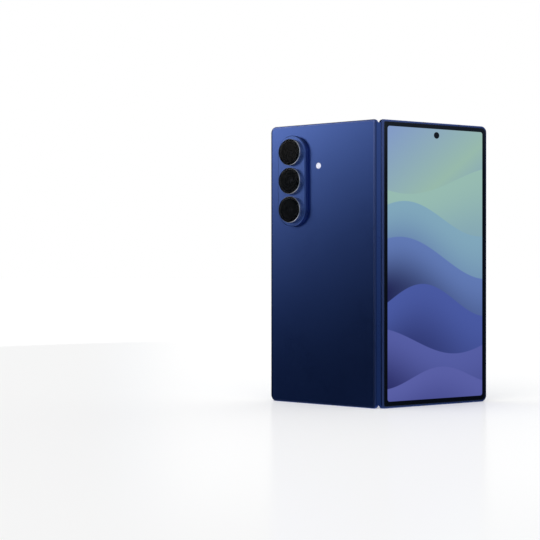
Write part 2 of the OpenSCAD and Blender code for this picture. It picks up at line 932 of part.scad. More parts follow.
module usb_port() {
    color("silver")
        rear_half() {
            difference() {
                rounded_port(port_w + 2 * port_wall, port_h + 2 * port_wall, [port_sink, port_l]);
                rounded_port(port_w, port_h, [-cut, port_l - port_wall]);
            }
            block([port_s - tongue_w / 2, port_s + tongue_w / 2],
                [port_d - tongue_t / 2, port_d + tongue_t / 2], [port_sink + cut, port_l]);
            block([port_s - tongue_w / 2, port_s + tongue_w / 2], [board_d, board_d + board_t],
                [port_l, usb_board_z]);
        }
}
module vibration_motor() {
    color("silver")
        rear_half()
            block([motor_s, motor_s + motor_w], [plate_d, rear_d - clear], [motor_z, motor_z + motor_h]);
}
module microphones() {
    color("silver")
        rear_half()
            for (m = rear_mics)
                block([m[0] - mic_w / 2, m[0] + mic_w / 2], [plate_d, plate_d + mic_t],
                    m[1] > 0 ? [height - low_z - mic_w, height - low_z] : [low_z, low_z + mic_w]);
}
module bezel() {
    s = half_w - bezel_rim;
    difference() {
        plate([bezel_s, s], [bezel_rim, height - bezel_rim], [-bezel_t, 0], hair, free_r - bezel_rim);
        plate([-cut, s - bezel_w], [bezel_rim + bezel_w, height - bezel_rim - bezel_w], [-cut, cut], hair,
            free_r - bezel_rim - bezel_w);
    }
}
module rear_bezel() {
    color("black")
        rear_half()
            bezel();
}
module rear_hinge_arms() {
    color("silver")
        rear_half()
            arms(rear_phase);
}
module rear_screws() {
    color("gainsboro")
        rear_half() {
            arm_screw_set();
            board_screws(concat(rear_posts, usb_posts));
        }
}
module rear_antenna_bands() {
    color("slategray")
        rear_half()
            antenna_bands();
}
module inner_camera() {
    color("black")
        rear_half() {
            block([selfie_s - selfie_w / 2, selfie_s + selfie_w / 2], [plate_d, rear_d - 2 * clear],
                [selfie_z - selfie_w / 2, selfie_z + selfie_w / 2]);
            bar(selfie_s, selfie_z, [hair, plate_d], selfie_r - hair);
        }
}
module magnets() {
    for (z = magnet_z)
        block([top_s - hair - magnet_w, top_s - hair], [plate_d, plate_d + magnet_t], [z, z + magnet_h]);
}
module rear_magnets() {
    color("gray")
        rear_half()
            magnets();
}
module flat_display(hole) {
    difference() {
        plate([bend_w + slack, top_s - hair], [low_z, high_z], [0, display_t], hair, free_r - wall);
        if (hole)
            bar(selfie_s, selfie_z, [-cut, display_t + cut], selfie_r + hair);
    }
}
module inner_display_rear() {
    color("slateblue")
        rear_half()
            flat_display(true);
}
// key switches: a bracket on the plate with a dome under each key's ends
module key_switches() {
    low = power_z - power_l / 2;
    high = rocker_z + rocker_l / 2;
    color("gold")
        rear_half() {
            block([switch_s - dome_t - switch_t, switch_s - dome_t],
                [plate_d, switch_d], [low, high]);
            for (z = [power_z, rocker_z - rocker_l / 2 + dome_inset, rocker_z + rocker_l / 2 - dome_inset])
                translate([switch_s - dome_t, -key_d, z])
                    rotate([0, 90, 0])
                        cylinder(r = dome_r, h = dome_t);
        }
}
// a key: the cap in the slot and the flange that holds it behind the wall
module key(z, l) {
    translate([flange_s + flange_t, -key_d, 0]) {
        translate([0, -key_w / 2, z - l / 2 + key_w / 2])
            cube([half_w + key_out - flange_s - flange_t, key_w, l - key_w]);
        for (k = [-1, 1])
            translate([0, 0, z + k * (l - key_w) / 2])
                rotate([0, 90, 0])
                    cylinder(d = key_w, h = half_w + key_out - flange_s - flange_t);
    }
    block([flange_s, flange_s + flange_t], [key_d - key_w / 2 - flange_lap, key_d + key_w / 2 + flange_lap],
        [z - l / 2 - flange_l, z + l / 2 + flange_l]);
}
module volume_rocker() {
    color("navy")
        rear_half()
            key(rocker_z, rocker_l);
}
module power_key() {
    color("navy")
        rear_half()
            key(power_z, power_l);
}

// ---------------------------------------------------------------- cover half

cover_posts = corners([cell_s, cell_s + sub_w], [sub_z, sub_z + sub_h]);
module tray_cap(grow, z) {
    w = tray_cap_w + 2 * grow;
    h = tray_cap_h + 2 * grow;
    translate([tray_s, -tray_d, z[0]])
        linear_extrude(z[1] - z[0]) {
            square([w - h, h], center = true);
            for (k = [-1, 1])
                translate([k * (w - h) / 2, 0])
                    circle(d = h);
        }
}
module cover_frame() {
    color("navy")
        cover_half()
            difference() {
                union() {
                    difference() {
                        half_body();
                        half_hollow(panel_d);
                    }
                    arm_pads(panel_d);
                    posts(cover_posts);
                }
                band_boxes();
                tray_cap(gap, [-cut, end_wall + cut]);
                speaker_holes(speaker_s + speaker_pitch, height - end_wall - cut, 5);
            }
}
module cover_glass() {
    color("black")
        cover_half()
            glass_plate([half_t - cover_glass_t, half_t], hair);
}
module cover_display_panel() {
    color("slateblue")
        cover_half()
            difference() {
                glass_plate([panel_d, panel_d + panel_t], 3 * hair);
                bar(selfie_s, selfie_z, [panel_d - cut, half_t], selfie_r + hair);
            }
}
module cover_camera() {
    color("black")
        cover_half() {
            block([selfie_s - selfie_w / 2, selfie_s + selfie_w / 2], [plate_d, panel_d - clear],
                [selfie_z - selfie_w / 2, selfie_z + selfie_w / 2]);
            bar(selfie_s, selfie_z, [panel_d - clear, panel_d + panel_t - hair], selfie_r - hair);
        }
}
module cover_battery() {
    color("dimgray")
        cover_half()
            block([cell_s, cell_s + cell_w], [plate_d, plate_d + cover_cell_t],
                [cell_z, cell_z + cover_cell_h]);
}
module sub_board() {
    color("darkgreen")
        cover_half()
            board([cell_s, cell_s + sub_w], [sub_z, sub_z + sub_h], cover_posts);
}
module sub_board_cans() {
    d = [board_d + board_t, board_d + board_t + can_h];
    color("silver")
        cover_half() {
            for (k = [0, sub_can_w + can_gap])
                block([cell_s + can_inset + k, cell_s + can_inset + k + sub_can_w], d,
                    [sub_z + can_gap, sub_z + sub_h - can_gap]);
        }
}
module top_speaker() {
    color("dimgray")
        cover_half()
            block([speaker_s, speaker_s + speaker_w], [plate_d, panel_d - clear],
                [height - speaker_z - speaker_h, height - speaker_z]);
}
// sheet-metal housing that guides the card tray
module sim_reader() {
    w = tray_w + 4 * clear;
    color("silver")
        cover_half()
            difference() {
                block([tray_s - w / 2 - reader_wall, tray_s + w / 2 + reader_wall],
                    [plate_d, tray_d + tray_t / 2 + clear + reader_wall],
                    [end_wall + reader_wall, tray_l + 1]);
                block([tray_s - w / 2, tray_s + w / 2],
                    [tray_d - tray_t / 2 - clear, tray_d + tray_t / 2 + clear], [0, tray_l + 2 * clear]);
            }
}
module sim_tray() {
    color("navy")
        cover_half()
            difference() {
                union() {
                    tray_cap(0, [0, end_wall]);
                    block([tray_s - tray_w / 2, tray_s + tray_w / 2],
                        [tray_d - tray_t / 2, tray_d + tray_t / 2], [end_wall - hair, tray_l]);
                }
                translate([tray_s + eject_s, -tray_d, -cut])
                    cylinder(r = eject_r, h = cut + eject_l);
                for (z = [end_wall + card_rim, tray_l - card_rim - card_h])
                    block([tray_s - card_w / 2, tray_s + card_w / 2],
                        [0, tray_d + tray_t / 2 - tray_floor], [z, z + card_h]);
            }
}
module cover_bezel() {
    color("black")
        cover_half()
            bezel();
}
module cover_hinge_arms() {
    color("silver")
        cover_half()
            arms(cover_phase);
}
module cover_screws() {
    color("gainsboro")
        cover_half() {
            arm_screw_set();
            board_screws(cover_posts);
        }
}
module cover_antenna_bands() {
    color("slategray")
        cover_half()
            antenna_bands();
}
module cover_magnets() {
    color("gray")
        cover_half()
            magnets();
}
module inner_display_cover() {
    color("slateblue")
        cover_half()
            flat_display(false);
}

// ---------------------------------------------------------------- output

spine_cover();
spine_end_caps();
hinge_brackets();
hinge_pins();
friction_springs();
hinge_flex();
inner_display_fold();
idler_gears_left();
idler_gears_right();
rear_frame();
rear_cover();
camera_island();
camera_rings();
camera_lenses();
camera_modules();
flash_lens();
rear_battery();
main_board();
shield_cans();
wireless_coil();
bottom_speaker();
usb_board();
usb_port();
vibration_motor();
microphones();
rear_bezel();
rear_hinge_arms();
rear_screws();
rear_antenna_bands();
inner_camera();
rear_magnets();
inner_display_rear();
key_switches();
volume_rocker();
power_key();
cover_frame();
cover_glass();
cover_display_panel();
cover_camera();
cover_battery();
sub_board();
sub_board_cans();
top_speaker();
sim_reader();
sim_tray();
cover_bezel();
cover_hinge_arms();
cover_screws();
cover_antenna_bands();
cover_magnets();
inner_display_cover();
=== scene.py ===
import math

import bpy
import numpy as np
from mathutils import Matrix, Vector


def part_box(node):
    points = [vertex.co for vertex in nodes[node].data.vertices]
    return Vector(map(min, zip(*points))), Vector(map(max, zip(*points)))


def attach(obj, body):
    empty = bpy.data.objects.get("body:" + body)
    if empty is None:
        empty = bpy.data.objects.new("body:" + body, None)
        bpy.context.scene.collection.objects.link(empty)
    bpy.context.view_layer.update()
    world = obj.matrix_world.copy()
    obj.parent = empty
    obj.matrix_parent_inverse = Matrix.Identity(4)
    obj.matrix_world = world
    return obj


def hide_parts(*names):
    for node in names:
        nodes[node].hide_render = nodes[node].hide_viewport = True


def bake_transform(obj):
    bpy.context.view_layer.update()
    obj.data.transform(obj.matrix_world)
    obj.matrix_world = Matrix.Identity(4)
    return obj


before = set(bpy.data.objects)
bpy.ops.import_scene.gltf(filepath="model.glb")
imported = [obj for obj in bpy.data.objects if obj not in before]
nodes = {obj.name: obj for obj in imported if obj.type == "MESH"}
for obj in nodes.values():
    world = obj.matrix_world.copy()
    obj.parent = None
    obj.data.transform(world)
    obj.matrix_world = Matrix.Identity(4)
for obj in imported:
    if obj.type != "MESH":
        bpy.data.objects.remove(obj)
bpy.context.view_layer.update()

# ---------------------------------------------------------------- camera
# A long lens level with the middle of the standing phone and square to its
# spine, so that the camera half shows on the left and the cover display on the right.
camera = bpy.data.objects.new("camera", bpy.data.cameras.new("camera"))
camera.data.lens = 79.814
camera.data.sensor_width = 36.0
camera.data.shift_x = -0.1296
camera.data.clip_start = 0.01
camera.data.clip_end = 50.0
eye = Vector((-0.00180, -0.67535, 0.07849))
yaw, pitch = math.radians(-1.692), math.radians(-0.226)
aim = Vector((math.sin(yaw) * math.cos(pitch), math.cos(yaw) * math.cos(pitch), math.sin(pitch)))
camera.matrix_world = Matrix.Translation(eye) @ aim.to_track_quat("-Z", "Y").to_matrix().to_4x4()
bpy.context.collection.objects.link(camera)
bpy.context.scene.camera = camera
bpy.context.scene.view_settings.view_transform = "Standard"

# ---------------------------------------------------------------- white room
# The room behind and around the phone: plain white to the camera and in
# reflections, a little lower as light, so that white things stay below white.
room_light = 0.72


def put(tree, kind, inputs=(), **settings):
    """Adds a shader node; inputs maps its sockets to values, or to sockets to link from."""
    made = tree.nodes.new("ShaderNode" + kind)
    for key, value in settings.items():
        setattr(made, key, value)
    for key, value in dict(inputs).items():
        if isinstance(value, bpy.types.NodeSocket):
            tree.links.new(value, made.inputs[key])
        else:
            made.inputs[key].default_value = value
    return made


def sums(tree, how, *values):
    """One Math node of that operation on two or three values or sockets; gives its result."""
    return put(tree, "Math", dict(enumerate(values)), operation=how).outputs[0]


room = bpy.data.worlds.new("white_room")
bpy.context.scene.world = room
room.use_nodes = True
tree = room.node_tree
tree.nodes.clear()
rays = put(tree, "LightPath").outputs
shown = sums(tree, "MAXIMUM", rays["Is Camera Ray"],
             sums(tree, "MAXIMUM", rays["Is Glossy Ray"], rays["Is Transmission Ray"]))
level = put(tree, "MapRange", {"Value": shown, "To Min": room_light, "To Max": 1.0})
sky = put(tree, "Background", {"Color": (1, 1, 1, 1), "Strength": level.outputs[0]})
put(tree, "OutputWorld", {"Surface": sky.outputs[0]})

# ---------------------------------------------------------------- reflection dome
# A studio dome seen only in polished and satin surfaces: brightest high on the
# left, softer in front and at the right, with one narrow upright strip there.
dome_r, dome_z = 0.60, 0.08
dome_turn = np.radians(np.linspace(-180, 178, 180))
dome_rise = np.radians(np.linspace(-60, 89.9, 76))


def grid_faces(nu, nv, wrap_u=False, wrap_v=False):
    """Faces of four corners over a grid of nu by nv points; a wrapped direction closes on itself."""
    index = np.arange(nu * nv).reshape(nu, nv)
    a = index if wrap_u else index[:-1]
    b = np.roll(index, -1, 0) if wrap_u else index[1:]
    cut = slice(None) if wrap_v else slice(0, -1)
    quads = np.stack([a[:, cut], b[:, cut], np.roll(b, -1, 1)[:, cut], np.roll(a, -1, 1)[:, cut]], -1)
    return quads.reshape(-1, 4).tolist()


def skin_mesh(name, points, faces, uv=None):
    """Mesh of points [..., 3] in metres and faces of point numbers; uv [..., 2] places each point."""
    mesh = bpy.data.meshes.new(name)
    mesh.from_pydata(points.reshape(-1, 3).tolist(), [], faces)
    if uv is not None:
        corner = np.empty(len(mesh.loops), np.int64)
        mesh.loops.foreach_get("vertex_index", corner)
        mesh.uv_layers.new(name="span").data.foreach_set("uv", uv.reshape(-1, 2)[corner].ravel())
    return mesh


def surface_mesh(name, points, wrap_u=False, wrap_v=False, uv=None):
    """Mesh over a grid of points [u, v, 3]; a wrapped direction closes on itself."""
    return skin_mesh(name, points, grid_faces(*points.shape[:2], wrap_u, wrap_v), uv)


def show(name, mesh, material):
    """Puts a mesh into the scene at the origin, with that material.

    Its end fans, the only triangles, stay flat. The rest is smooth but for edges over 40 degrees."""
    corners = np.empty(len(mesh.polygons), np.int32)
    mesh.polygons.foreach_get("loop_total", corners)
    mesh.polygons.foreach_set("use_smooth", corners != 3)
    mesh.set_sharp_from_angle(angle=math.radians(40))
    mesh.materials.append(material)
    piece = bpy.data.objects.new(name, mesh)
    bpy.context.collection.objects.link(piece)
    return piece


def soft(x, low, high):
    """Smooth step from 0 at low to 1 at high."""
    t = np.clip((x - low) / (high - low), 0, 1)
    return t * t * (3 - 2 * t)


def dome_light(turn, rise):
    """Brightness of the dome over its turn and rise in degrees: the sum of soft patches.

    Turn 0 is in front and grows to the right. The left patch grows by powers with the rise and
    towards the back, and ends before it; the others are smooth steps and bells over a dark ground."""
    slope = 0.085 + 0.05 * (1 - soft(rise, 0, 14))
    left = 0.092 * np.exp(0.17 * np.minimum(rise, 18)) * np.exp(-slope * (turn + 70))
    left = left * (1 + 0.6 * np.exp(-((rise - 2) / 6) ** 2) * soft(-turn, 64, 74))
    left = left * (1 - soft(rise, 18, 36)) * soft(turn, -92, -77) + 0.009
    front = (0.14 + 0.46 / (1 + np.exp((5 - rise) / 3.2))) * np.exp(-((turn - 12) / 32) ** 2)
    front = front * (1 - soft(rise, 25, 50))
    right = (0.03 + 0.24 * soft(rise, 8, 15)) * soft(turn, 35, 60)
    side = 0.20 * soft(turn, 80, 92) * (1 - soft(turn, 106, 122)) * (1 - soft(rise, 20, 45))
    strip = 0.8 * np.exp(-((turn - 52) / 6) ** 2) * (1 - soft(rise, 20, 40))
    strip = strip * (0.6 + 0.4 * soft(rise, -10, 8))
    back = 0.20 * soft(turn, 106, 122) * (1 - soft(turn, 140, 170)) * (1 - soft(rise, 20, 45))
    behind = soft(abs(turn), 150, 164) * (1 - soft(rise, 5, 14))
    top = 0.5 * soft(rise, 25, 50) * soft(turn, 10, 80) * (1 - soft(turn, 150, 180))
    ground = 0.30 * soft(-rise, 17, 34)
    return ground + left + front + right + strip + side + back + behind + top


turn, rise = np.meshgrid(dome_turn, dome_rise, indexing="ij")
flat = dome_r * np.cos(rise)
mesh = surface_mesh("reflection_dome", np.stack([flat * np.sin(turn), -flat * np.cos(turn),
                                                 dome_z + dome_r * np.sin(rise)], -1), wrap_u=True)
light = dome_light(np.degrees(turn), np.degrees(rise)).ravel()
# the darker it is, the bluer
cool = np.clip(1 - 1.4 * light, 0, 1)
tint = np.stack([light * (1 - 0.6 * cool), light * (1 - 0.25 * cool), light * (1 + 0.22 * cool),
                 np.ones_like(light)], -1)
mesh.color_attributes.new("light", "FLOAT_COLOR", "POINT").data.foreach_set("color", tint.ravel())
glow = bpy.data.materials.new("dome_glow")
glow.use_nodes = True
tree = glow.node_tree
tree.nodes.clear()
paint = put(tree, "Attribute", attribute_name="light", attribute_type="GEOMETRY")
lit = put(tree, "Emission", {"Color": paint.outputs["Color"]})
put(tree, "OutputMaterial", {"Surface": lit.outputs[0]})
dome = show("reflection_dome", mesh, glow)
dome.visible_camera = dome.visible_diffuse = dome.visible_shadow = dome.visible_transmission = False

# ---------------------------------------------------------------- floor and lamp
# A plain white tabletop with a trace of polish, and one broad soft lamp above
# and to the left that gives the phone its faint shadow.
floor_half = 6.0
floor_polish = 0.10
floor_white = 0.80
floor_veil = 0.19
lamp_strength, lamp_spread = 1.1, 70

steps = np.linspace(-floor_half, floor_half, 3)
x, y = np.meshgrid(steps, steps, indexing="ij")
mesh = surface_mesh("floor", np.stack([x, y, 0 * x], -1))
table = bpy.data.materials.new("white_table")
table.use_nodes = True
tree = table.node_tree
tree.nodes.clear()
matt = put(tree, "BsdfDiffuse", {"Color": (floor_white,) * 3 + (1,)})
polish = put(tree, "BsdfAnisotropic", {"Color": (1, 1, 1, 1), "Roughness": 0.18})
skin = put(tree, "MixShader", {0: floor_polish, 1: matt.outputs[0], 2: polish.outputs[0]})
seen = sums(tree, "MULTIPLY", put(tree, "LightPath").outputs["Is Camera Ray"], floor_veil)
veil = put(tree, "Emission", {"Color": (1, 1, 1, 1), "Strength": seen})
both = put(tree, "AddShader", {0: skin.outputs[0], 1: veil.outputs[0]})
put(tree, "OutputMaterial", {"Surface": both.outputs[0]})
floor = show("floor", mesh, table)
floor.visible_glossy = False

lamp = bpy.data.lights.new("soft_lamp", "SUN")
lamp.angle = math.radians(lamp_spread)
lamp.energy = lamp_strength
lamp.specular_factor = 0.0
hung = bpy.data.objects.new("soft_lamp", lamp)
hung.matrix_world = Vector((0.45, 0.45, -1.0)).to_track_quat("-Z", "Y").to_matrix().to_4x4()
bpy.context.collection.objects.link(hung)

# ---------------------------------------------------------------- spine
# The outer cover of the hinge: a drawn aluminium channel, bead blasted and
# anodised deep blue, with black moulded end caps that close it.
deep_blue = (0.062, 0.120, 0.390)


def group(name, ins, outs):
    """A shader node group: ins are (name, kind, value), outs are (name, kind)."""
    tree = bpy.data.node_groups.new(name, "ShaderNodeTree")
    for label, kind, value in ins:
        socket = tree.interface.new_socket(label, in_out="INPUT", socket_type="NodeSocket" + kind)
        socket.default_value = value
    for label, kind in outs:
        tree.interface.new_socket(label, in_out="OUTPUT", socket_type="NodeSocket" + kind)
    return tree, tree.nodes.new("NodeGroupInput").outputs, tree.nodes.new("NodeGroupOutput").inputs


def give(tree, gives, **results):
    """Links each named result to the group's output of that name."""
    for label, socket in results.items():
        tree.links.new(socket, gives[label])


relief_outs = [("Colour", "Color"), ("Roughness", "Float"), ("Height", "Float")]

# blasted and anodised metal: fine grain, and a slow drift of tone and gloss
blasted, given, gives = group("blasted_grain", [
    ("Colour", "Color", (0.5, 0.5, 0.5, 1)), ("Roughness", "Float", 0.3), ("Grain", "Float", 4500.0),
    ("Drift", "Float", 0.06)], relief_outs)
spot = put(blasted, "TexCoord").outputs["Object"]
grain = put(blasted, "TexNoise", {"Vector": spot, "Scale": given["Grain"], "Detail": 2.0}).outputs["Fac"]
slow = put(blasted, "TexNoise", {"Vector": spot, "Scale": 28.0, "Detail": 3.0}).outputs["Fac"]
part = sums(blasted, "MULTIPLY_ADD", slow, given["Drift"], 1.0)
tone = put(blasted, "HueSaturation", {"Color": given["Colour"], "Value": part})
rough = sums(blasted, "MULTIPLY_ADD", grain, 0.05, given["Roughness"])
give(blasted, gives, Colour=tone.outputs[0], Height=grain,
     Roughness=sums(blasted, "MULTIPLY_ADD", slow, 0.04, rough))


def finish(name, effect, inputs, bump=0.0, depth=1e-5, **sockets):
    """A Principled material whose colour, roughness and relief come from a node group."""
    made = bpy.data.materials.new(name)
    made.use_nodes = True
    tree = made.node_tree
    skin = tree.nodes["Principled BSDF"]
    for key, value in sockets.items():
        skin.inputs[key.replace("_", " ")].default_value = value
    use = put(tree, "Group", node_tree=effect)
    for key, value in inputs.items():
        use.inputs[key].default_value = value
    for key, target in (("Colour", "Base Color"), ("Roughness", "Roughness")):
        if key in use.outputs:
            tree.links.new(use.outputs[key], skin.inputs[target])
    if bump:
        relief = put(tree, "Bump", {"Height": use.outputs["Height"], "Strength": bump, "Distance": depth})
        tree.links.new(relief.outputs[0], skin.inputs["Normal"])
    return made


def dress(material, *names):
    """Gives CAD nodes that material."""
    for name in names:
        for slot in nodes[name].material_slots:
            slot.material = material


spine_blue = finish("spine_blue", blasted, {"Colour": (*deep_blue, 1), "Roughness": 0.24, "Grain": 5200.0},
                    bump=0.12, Metallic=1.0, Coat_Weight=0.5, Coat_Roughness=0.25)
dress(spine_blue, "spine_cover")

# moulded black plastic: faint pits and a slow change of gloss
moulded, given, gives = group("moulded_plastic", [
    ("Colour", "Color", (0.02, 0.02, 0.02, 1)), ("Roughness", "Float", 0.5), ("Grain", "Float", 3000.0)],
    relief_outs)
spot = put(moulded, "TexCoord").outputs["Object"]
grain = put(moulded, "TexVoronoi", {"Vector": spot, "Scale": given["Grain"]}).outputs["Distance"]
slow = put(moulded, "TexNoise", {"Vector": spot, "Scale": 60.0, "Detail": 2.0}).outputs["Fac"]
tone = put(moulded, "HueSaturation", {"Color": given["Colour"],
                                      "Value": sums(moulded, "MULTIPLY_ADD", slow, 0.3, 0.85)})
give(moulded, gives, Colour=tone.outputs[0], Height=grain,
     Roughness=sums(moulded, "MULTIPLY_ADD", slow, 0.1, given["Roughness"]))
cap_black = finish("cap_black", moulded, {"Colour": (0.012, 0.013, 0.018, 1), "Roughness": 0.45}, bump=0.1)
dress(cap_black, "spine_end_caps")

# ---------------------------------------------------------------- hinge works
# Brackets, arms and gears of machined steel, hardened pins, spring discs and
# the amber flexible circuits that cross from one half to the other.

# machined metal: fine cutter lines along one direction
machined, given, gives = group("machined_lines", [
    ("Colour", "Color", (0.5, 0.5, 0.5, 1)), ("Roughness", "Float", 0.3), ("Lines", "Float", 2600.0)],
    relief_outs)
spot = put(machined, "TexCoord").outputs["Object"]
long = put(machined, "Mapping", {"Vector": spot, "Scale": (1.0, 1.0, 0.04)}).outputs[0]
lines = put(machined, "TexNoise", {"Vector": long, "Scale": given["Lines"], "Detail": 3.0}).outputs["Fac"]
tone = put(machined, "HueSaturation", {"Color": given["Colour"],
                                       "Value": sums(machined, "MULTIPLY_ADD", lines, 0.25, 0.87)})
give(machined, gives, Colour=tone.outputs[0], Height=lines,
     Roughness=sums(machined, "MULTIPLY_ADD", lines, 0.18, given["Roughness"]))

for name, colour, roughness, members in (
        ("hinge_steel", (0.52, 0.52, 0.54), 0.28, (
            "hinge_brackets", "hinge_pins", "rear_hinge_arms", "cover_hinge_arms", "idler_gears_left",
            "idler_gears_right")),
        ("spring_steel", (0.50, 0.44, 0.34), 0.25, ("friction_springs",)),
        ("screw_steel", (0.60, 0.60, 0.61), 0.30, ("rear_screws", "cover_screws")),
        ("can_steel", (0.66, 0.66, 0.68), 0.34, ("shield_cans", "sub_board_cans", "sim_reader")),
        ("port_steel", (0.50, 0.50, 0.52), 0.22, ("usb_port",)),
        ("magnet_nickel", (0.45, 0.45, 0.47), 0.24, ("rear_magnets", "cover_magnets")),
        ("switch_steel", (0.58, 0.57, 0.55), 0.30, ("key_switches",))):
    steel = finish(name, machined, {"Colour": (*colour, 1), "Roughness": roughness}, bump=0.15, Metallic=1.0)
    dress(steel, *members)

# printed film and laminate: a fine weave of tracks over an even ground
printed, given, gives = group("printed_tracks", [
    ("Ground", "Color", (0.02, 0.12, 0.07, 1)), ("Track", "Color", (0.03, 0.2, 0.1, 1)),
    ("Pitch", "Float", 900.0), ("Roughness", "Float", 0.4)],
    relief_outs)
spot = put(printed, "TexCoord").outputs["Object"]
cells = put(printed, "TexVoronoi", {"Vector": spot, "Scale": given["Pitch"]},
            distance="CHEBYCHEV").outputs["Distance"]
edge = put(printed, "MapRange", {"Value": cells, "From Min": 0.32, "From Max": 0.36}).outputs[0]
ink = put(printed, "Mix", {0: edge, 6: given["Ground"], 7: given["Track"]}, data_type="RGBA")
give(printed, gives, Colour=ink.outputs[2], Height=edge,
     Roughness=sums(printed, "MULTIPLY_ADD", edge, -0.12, given["Roughness"]))

for name, ground, track, spacing, roughness, metal, members in (
        ("amber_film", (0.42, 0.22, 0.05), (0.52, 0.30, 0.08), 1500.0, 0.35, 0.0, ()),
        ("green_board", (0.012, 0.085, 0.045), (0.02, 0.15, 0.08), 700.0, 0.42, 0.0,
         ("main_board", "sub_board", "usb_board")),
        ("cell_foil", (0.085, 0.085, 0.092), (0.10, 0.10, 0.108), 350.0, 0.42, 0.6,
         ("rear_battery", "cover_battery")),
        ("coil_copper", (0.62, 0.30, 0.14), (0.75, 0.42, 0.22), 1200.0, 0.32, 0.9, ("wireless_coil",)),
        ("panel_film", (0.012, 0.013, 0.02), (0.016, 0.018, 0.03), 1800.0, 0.25, 0.0,
         ("cover_display_panel",))):
    film = finish(name, printed, {"Ground": (*ground, 1), "Track": (*track, 1), "Pitch": spacing,
                                  "Roughness": roughness}, bump=0.2, depth=2e-5, Metallic=metal)
    dress(film, *members)
amber_film = bpy.data.materials["amber_film"]
module_black = finish("module_black", moulded, {"Colour": (0.014, 0.014, 0.016, 1), "Roughness": 0.4},
                      bump=0.15)
dress(module_black, "bottom_speaker", "top_speaker", "vibration_motor", "microphones", "inner_camera",
      "cover_camera")

# ---------------------------------------------------------------- frames and bands
# The two machined aluminium frames, bead blasted and anodised deep blue, with
# blue plastic bands let into their edges as windows for the aerials.

# from here on lengths are in millimetres, and mm turns them into metres; a
# half's points lie s across from the fold line, d deep from the inner face and
# z up; axis_s and axis_d place its hinge axis, and mid_y is how far the whole
# phone is moved to stand in the middle
mm = 0.001
axis_s, axis_d, fold_turn, mid_y = 1.55, 1.3, math.radians(32.3), 16.424635
half_w, half_t, height = 71.6, 4.2, 158.4
# painted shade on the long free edges: how dark they get, and the band in millimetres from the edge over
# which it fades in
free_edge_shade, shade_band = 0.36, (1.0, 1.3)
frame_blue = finish("frame_blue", blasted, {"Colour": (0.125, 0.175, 0.430, 1), "Roughness": 0.26,
                                            "Grain": 4800.0},
                    bump=0.06, Metallic=1.0, Specular_Tint=(0.12, 0.16, 0.32, 1))
# painted shade: the long free edges are painted darker; here is how far a point lies across its half, in
# metres
tree = frame_blue.node_tree
skin, grained = tree.nodes["Principled BSDF"], tree.nodes["Group"]
at = put(tree, "SeparateXYZ", {0: put(tree, "TexCoord").outputs["Object"]}).outputs
across = sums(tree, "MULTIPLY_ADD", sums(tree, "ABSOLUTE", at["X"]), math.cos(fold_turn),
              sums(tree, "MULTIPLY_ADD", at["Y"], math.sin(fold_turn),
                   mm * (axis_s - axis_s * math.cos(fold_turn) + (axis_d + mid_y) * math.sin(fold_turn))))
# painted shade mask: full tone inside the half, darker towards the long free edge
cut = put(tree, "MapRange", {"Value": across, "From Min": (half_w - shade_band[1]) * mm,
                             "From Max": (half_w - shade_band[0]) * mm,
                             "To Min": 1.0, "To Max": free_edge_shade}).outputs[0]
shaded_tone = put(tree, "HueSaturation", {"Color": grained.outputs["Colour"], "Value": cut}).outputs[0]
tree.links.new(shaded_tone, skin.inputs["Base Color"])
dress(frame_blue, "rear_frame", "cover_frame", "sim_tray")
band_blue = finish("band_blue", moulded, {"Colour": (0.018, 0.032, 0.10, 1), "Roughness": 0.42}, bump=0.1)
dress(band_blue, "rear_antenna_bands", "cover_antenna_bands")

# ---------------------------------------------------------------- side keys
# Volume rocker and power key: milled aluminium pills with rounded edges on a
# thin flange behind the wall; the power key has a shallow dish for the finger.
key_d, key_w, key_out, wall_t = 2.1, 1.6, 0.35, 1.3
flange_t, flange_lap, flange_more, flange_gap = 0.5, 0.15, 0.6, 0.3
flange_s = half_w - wall_t - flange_gap - flange_t
key_round = 0.22


def in_half(side, s, d, z, turn=fold_turn):
    """Points in metres of s across, d deep and z up a half: side 1 is the cover half.

    The half is turned by the fold about the hinge axis at axis_s, axis_d."""
    u, v = s - axis_s, axis_d - d
    x = side * (axis_s + u * np.cos(turn) - v * np.sin(turn))
    y = -axis_d + u * np.sin(turn) + v * np.cos(turn) - mid_y
    return np.stack(np.broadcast_arrays(x, y, z), -1) * mm


def outward(mesh):
    """Turns the faces of a closed mesh outwards if its signed volume is negative."""
    point = np.empty(len(mesh.vertices) * 3)
    mesh.vertices.foreach_get("co", point)
    point = point.reshape(-1, 3)
    mesh.calc_loop_triangles()
    tri = np.empty(len(mesh.loop_triangles) * 3, np.int64)
    mesh.loop_triangles.foreach_get("vertices", tri)
    a, b, c = point[tri.reshape(-1, 3).T]
    if np.einsum("ij,ij->", a, np.cross(b, c)) < 0:
        mesh.flip_normals()
    return mesh


def closed_loft(name, rings, uv=None):
    """Rings of points [ring, step, 3] joined in turn, the first and last each closed by a fan."""
    rows, count = rings.shape[:2]
    base, last = rows * count, (rows - 1) * count
    step = np.arange(count)
    after = (step + 1) % count
    fans = np.stack([step, after, np.full(count, base)], -1).tolist()
    fans += np.stack([last + after, last + step, np.full(count, base + 1)], -1).tolist()
    points = np.concatenate([rings.reshape(-1, 3), rings[[0, -1]].mean(1)])
    if uv is not None:
        uv = np.concatenate([uv.reshape(-1, 2), uv[[0, -1]].mean(1)])
    return outward(skin_mesh(name, points, grid_faces(rows, count, wrap_v=True) + fans, uv))


def pill(a, b, inset, steps=24):
    """Outline [step, 2] of a pill of half length a and half width b, drawn in by inset."""
    t = np.linspace(0, math.pi, steps)
    arc = np.stack([(b - inset) * np.cos(t), (b - inset) * np.sin(t) + (a - b)], -1)
    return np.concatenate([arc, -arc])


